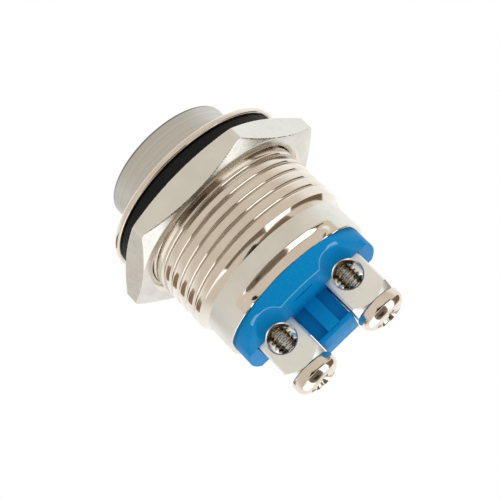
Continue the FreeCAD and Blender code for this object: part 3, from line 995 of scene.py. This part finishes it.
# Cards that the bright metal mirrors: name, colour and four corner directions in the
# photograph's right, up and back
CARDS = [
    ("low_white_card", (1.7, 1.7, 1.7),
     (-0.30, -0.97, 0.02), (-0.15, -0.80, 0.80), (0.60, -0.86, -0.15), (0.25, -0.93, -0.55)),
    ("brown_card", (0.20, 0.15, 0.11),
     (-0.15, -0.80, 0.80), (0.45, 0.02, 0.86), (0.80, -0.59, -0.02), (0.56, -0.86, -0.12)),
    ("right_white_card", (1.7, 1.7, 1.7),
     (0.45, 0.02, 0.86), (0.88, 0.28, 0.48), (0.92, -0.41, -0.20), (0.80, -0.59, -0.02)),
    ("right_brown_card", (0.20, 0.13, 0.08),
     (0.88, 0.28, 0.48), (0.84, 0.42, -0.45), (0.86, -0.10, -0.50), (0.94, -0.41, -0.20)),
    ("black_card", (0.03, 0.024, 0.018),
     (0.12, -0.66, 0.74), (0.36, -0.32, 0.86), (0.70, -0.66, 0.10), (0.60, -0.78, 0.05)),
    ("left_brown_card", (0.30, 0.19, 0.12),
     (-0.88, -0.47, -0.20), (-0.78, -0.30, -0.52), (-0.62, -0.30, -0.74), (-0.62, -0.55, -0.56)),
    ("camera_card", (0.006, 0.005, 0.004),
     (-0.30, -0.45, 0.85), (0.22, -0.20, 0.95), (0.20, 0.25, 0.95), (-0.30, 0.10, 0.95)),
    ("hand_card", (0.22, 0.15, 0.10),
     (0.22, -0.10, 0.95), (0.80, 0.25, 0.60), (0.70, 0.60, 0.45), (0.20, 0.25, 0.95)),
]


def photo_point(right, up, back):
    """Place given from the middle of the part along the photograph's own directions."""
    return PART_MIDDLE + CAMERA_RIGHT * right + CAMERA_UP * up - CAMERA_FORWARD * back


def make_camera():
    data = bpy.data.cameras.new("camera")
    data.lens = CAMERA_LENS
    data.sensor_width = SENSOR
    data.clip_start = 0.005
    data.clip_end = 3.0
    camera = link_object("camera", data)
    turn = Matrix((CAMERA_RIGHT, CAMERA_UP, -CAMERA_FORWARD)).transposed()
    camera.matrix_world = Matrix.Translation(CAMERA_AT * MM) @ turn.to_4x4()
    bpy.context.scene.camera = camera


def area_light(name, at, size, power):
    """Square light turned to the part, not seen in mirrors."""
    data = bpy.data.lights.new(name, "AREA")
    data.size = size * MM
    data.energy = power
    lamp = link_object(name, data)
    lamp.location = at * MM
    lamp.rotation_mode = "QUATERNION"
    lamp.rotation_quaternion = (PART_MIDDLE - at).to_track_quat("-Z", "Y")
    lamp.visible_glossy = False


def make_floor():
    """Pale floor below the terminals, seen from above only."""
    mat, nodes, links, shader = new_material("pale_floor")
    shader.inputs["Base Color"].default_value = (0.86, 0.86, 0.85, 1)
    shader.inputs["Roughness"].default_value = 0.9
    clear = nodes.new("ShaderNodeBsdfTransparent")
    side = nodes.new("ShaderNodeNewGeometry")
    mix = nodes.new("ShaderNodeMixShader")
    links.new(side.outputs["Backfacing"], mix.inputs["Fac"])
    links.new(shader.outputs["BSDF"], mix.inputs[1])
    links.new(clear.outputs["BSDF"], mix.inputs[2])
    links.new(mix.outputs["Shader"], nodes["Material Output"].inputs["Surface"])
    corners = [(-FLOOR_HALF, -FLOOR_HALF), (FLOOR_HALF, -FLOOR_HALF),
               (FLOOR_HALF, FLOOR_HALF), (-FLOOR_HALF, FLOOR_HALF)]
    floor = mesh_object("floor", [(x, y, FLOOR_Z) for x, y in corners], [(0, 1, 2, 3)])
    floor.data.materials.append(mat)
    floor.visible_glossy = False
    floor.visible_diffuse = False
    floor.visible_shadow = False


def make_world():
    """White to the camera; for light and mirroring, bright behind the part and greyer in front."""
    world = bpy.data.worlds.new("studio")
    bpy.context.scene.world = world
    world.use_nodes = True
    nodes, links = world.node_tree.nodes, world.node_tree.links
    nodes.clear()
    ray = nodes.new("ShaderNodeLightPath")
    white = nodes.new("ShaderNodeBackground")
    white.inputs["Color"].default_value = (1, 1, 1, 1)
    way = nodes.new("ShaderNodeTexCoord")
    facing = nodes.new("ShaderNodeVectorMath")
    facing.operation = "DOT_PRODUCT"
    facing.inputs[1].default_value = CAMERA_FORWARD
    links.new(way.outputs["Generated"], facing.inputs[0])
    level = nodes.new("ShaderNodeMapRange")
    level.interpolation_type = "SMOOTHSTEP"
    level.inputs["From Min"].default_value = -0.1
    level.inputs["From Max"].default_value = 0.45
    links.new(facing.outputs["Value"], level.inputs["Value"])
    tint = nodes.new("ShaderNodeMix")
    tint.data_type = "RGBA"
    tint.inputs[6].default_value = (*FRONT_COLOUR, 1)
    tint.inputs[7].default_value = (*BACK_COLOUR, 1)
    links.new(level.outputs["Result"], tint.inputs[0])
    soft = nodes.new("ShaderNodeBackground")
    links.new(tint.outputs[2], soft.inputs["Color"])
    mix = nodes.new("ShaderNodeMixShader")
    out = nodes.new("ShaderNodeOutputWorld")
    links.new(ray.outputs["Is Camera Ray"], mix.inputs["Fac"])
    links.new(soft.outputs["Background"], mix.inputs[1])
    links.new(white.outputs["Background"], mix.inputs[2])
    links.new(mix.outputs["Shader"], out.inputs["Surface"])


def mirror_card(distance, name, colour, *corners):
    """Glowing card seen only in mirrors, spanned between four directions."""
    points = [photo_point(*(Vector(way).normalized() * distance)) for way in corners]
    obj = mesh_object(name, points, [(0, 1, 2), (0, 2, 3)])
    mat, nodes, links, _ = new_material(name)
    nodes.clear()
    glow = nodes.new("ShaderNodeEmission")
    glow.inputs["Color"].default_value = (*colour, 1)
    out = nodes.new("ShaderNodeOutputMaterial")
    links.new(glow.outputs["Emission"], out.inputs["Surface"])
    obj.data.materials.append(mat)
    obj.visible_camera = False
    obj.visible_diffuse = False
    obj.visible_shadow = False
    obj.visible_transmission = False


def make_studio():
    bpy.context.scene.view_settings.view_transform = "Standard"
    make_camera()
    make_world()
    make_floor()
    area_light("key", photo_point(-60, 190, 130), 170, 0.10)
    area_light("low_light", photo_point(110, -150, 40), 140, 0.055)
    for number, card in enumerate(CARDS):
        mirror_card(CARD_DISTANCE * (1.0 - 0.04 * number), *card)


make_housing()
make_nut()
make_gasket()
make_button()
make_base()
for terminal in ((-1, "a"), (1, "b")):
    make_post(*terminal)
    make_screw(*terminal)
make_springs()
dress_inside()
make_studio()
